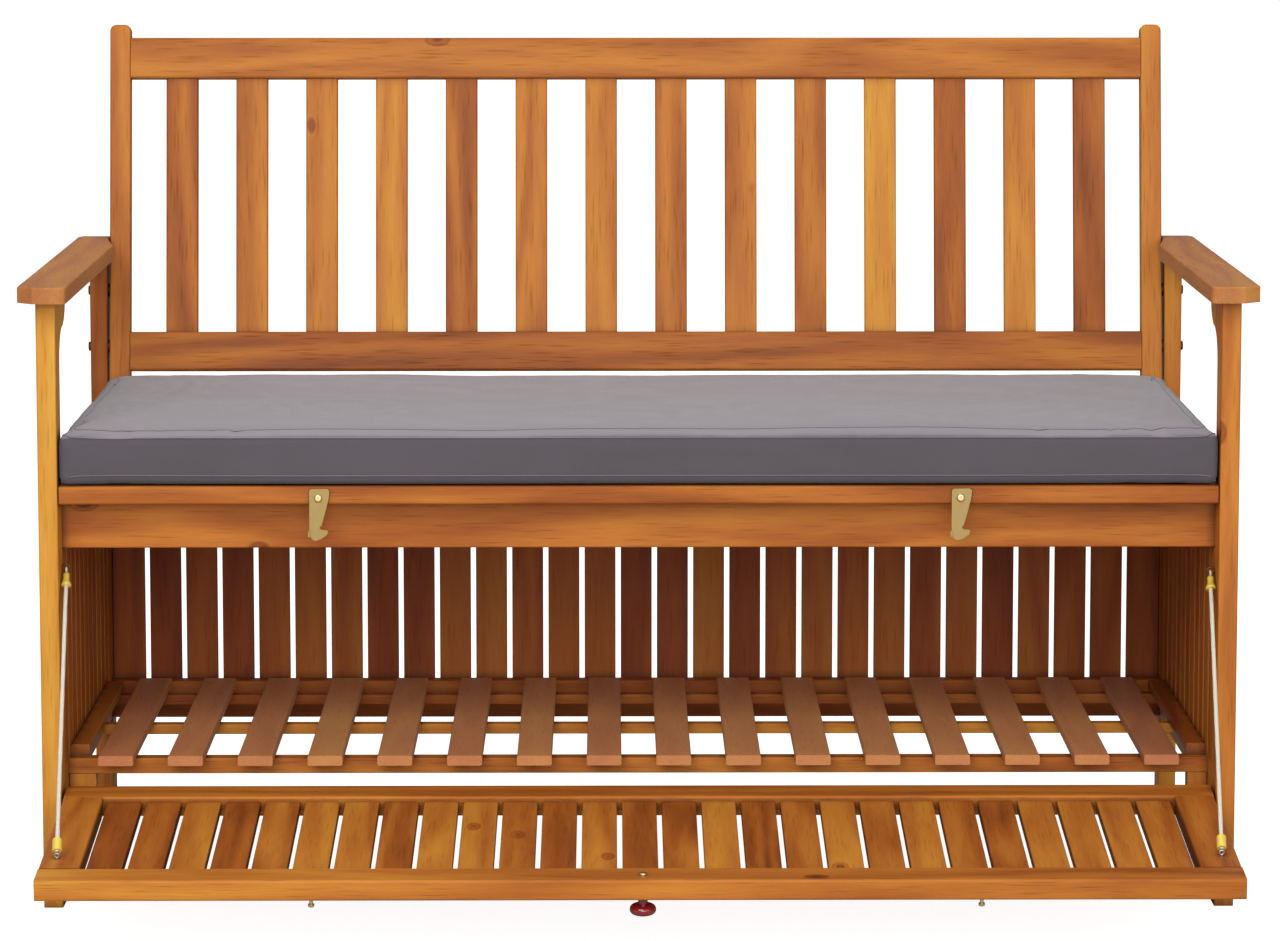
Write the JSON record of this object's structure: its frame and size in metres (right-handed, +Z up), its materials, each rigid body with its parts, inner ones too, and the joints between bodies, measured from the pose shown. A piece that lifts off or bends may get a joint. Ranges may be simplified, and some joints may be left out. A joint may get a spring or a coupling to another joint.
{
  "type": "storage bench",
  "caption": "Slatted wooden garden bench with a storage box under the seat, a drop-down slatted front on stay cords, hook latches and a seat cushion.",
  "frame": {"origin": "centre of the footprint of the bench with its front hanging open, on the ground", "axes": "+X along the length of the bench, +Y from the front to the back, +Z up"},
  "size_m": [1.202, 0.8723, 0.8427],
  "materials": {
    "leg_wood": "oiled",
    "arm_wood": "oiled",
    "rail_wood": "oiled",
    "slat_wood": "oiled",
    "board_wood": "oiled",
    "shelf_wood": "oiled",
    "flap_wood": "oiled",
    "dowel_wood": "plain",
    "zinc_steel": "zinc plated",
    "brass": "satin",
    "yellow_ferrule": "bright",
    "cord": "braided",
    "knob_red": "gloss",
    "cushion_grey": "woven"
  },
  "bodies": {
    "bench": {"apron": "rail_wood", "armrest_dowels": "dowel_wood", "armrest_left": "arm_wood", "armrest_right": "arm_wood", "back_bottom_rail": "rail_wood", "back_post_left": "rail_wood", "back_post_right": "rail_wood", "back_slats": "slat_wood", "back_top_rail": "rail_wood", "back_washers": "zinc_steel", "box_rear_boards": "board_wood", "box_rear_bottom_rail": "rail_wood", "box_rear_top_rail": "rail_wood", "cord_clip_left": "yellow_ferrule", "cord_clip_right": "yellow_ferrule", "cord_eyes_upper": "brass", "flap_pivot_pins": "zinc_steel", "frame_bolts": "zinc_steel", "front_leg_left": "leg_wood", "front_leg_right": "leg_wood", "hook_screws": "brass", "rear_leg_left": "leg_wood", "rear_leg_right": "leg_wood", "seat_bearers": "rail_wood", "seat_front_board": "board_wood", "seat_slats": "slat_wood", "shelf_corner_blocks": "shelf_wood", "shelf_front_rail": "shelf_wood", "shelf_mid_rail": "shelf_wood", "shelf_rear_rail": "shelf_wood", "shelf_side_strips": "shelf_wood", "shelf_slats": "shelf_wood", "side_boards_left": "board_wood", "side_boards_right": "board_wood", "side_bottom_rail_left": "rail_wood", "side_bottom_rail_right": "rail_wood", "side_top_rail_left": "rail_wood", "side_top_rail_right": "rail_wood", "stay_cord_left": "cord", "stay_cord_right": "cord"},
    "flap": {"cord_ferrule_left": "yellow_ferrule", "cord_ferrule_right": "yellow_ferrule", "flap_catch_screws": "brass", "flap_front_rail": "flap_wood", "flap_rear_rail": "flap_wood", "flap_slats": "slat_wood", "flap_stile_left": "flap_wood", "flap_stile_right": "flap_wood", "knob": "knob_red", "knob_screw": "brass", "cord_eyes_lower": "brass"},
    "hook_left": {"hook_left": "brass"},
    "hook_right": {"hook_right": "brass"},
    "cushion": {"cushion": "cushion_grey"}
  },
  "joints": [
    {"name": "flap_hinge", "type": "hinge", "parent": "bench", "child": "flap", "pos_m": [0, -0.14282, 0.104], "axis": [-1, 0, 0], "range_deg": [0, 95.6], "deforming": ["stay_cord_left", "stay_cord_right", "cord_clip_left", "cord_clip_right"]},
    {"name": "hook_left_pivot", "type": "hinge", "parent": "bench", "child": "hook_left", "pos_m": [-0.313, -0.15587, 0.4065], "axis": [0, 1, 0], "range_deg": [0, 100]},
    {"name": "hook_right_pivot", "type": "hinge", "parent": "bench", "child": "hook_right", "pos_m": [0.314, -0.15587, 0.4065], "axis": [0, 1, 0], "range_deg": [0, 100]},
    {"name": "cushion_lift", "type": "slide", "parent": "bench", "child": "cushion", "axis": [0, 0, 1], "range_m": [0, 0.12]}
  ]
}
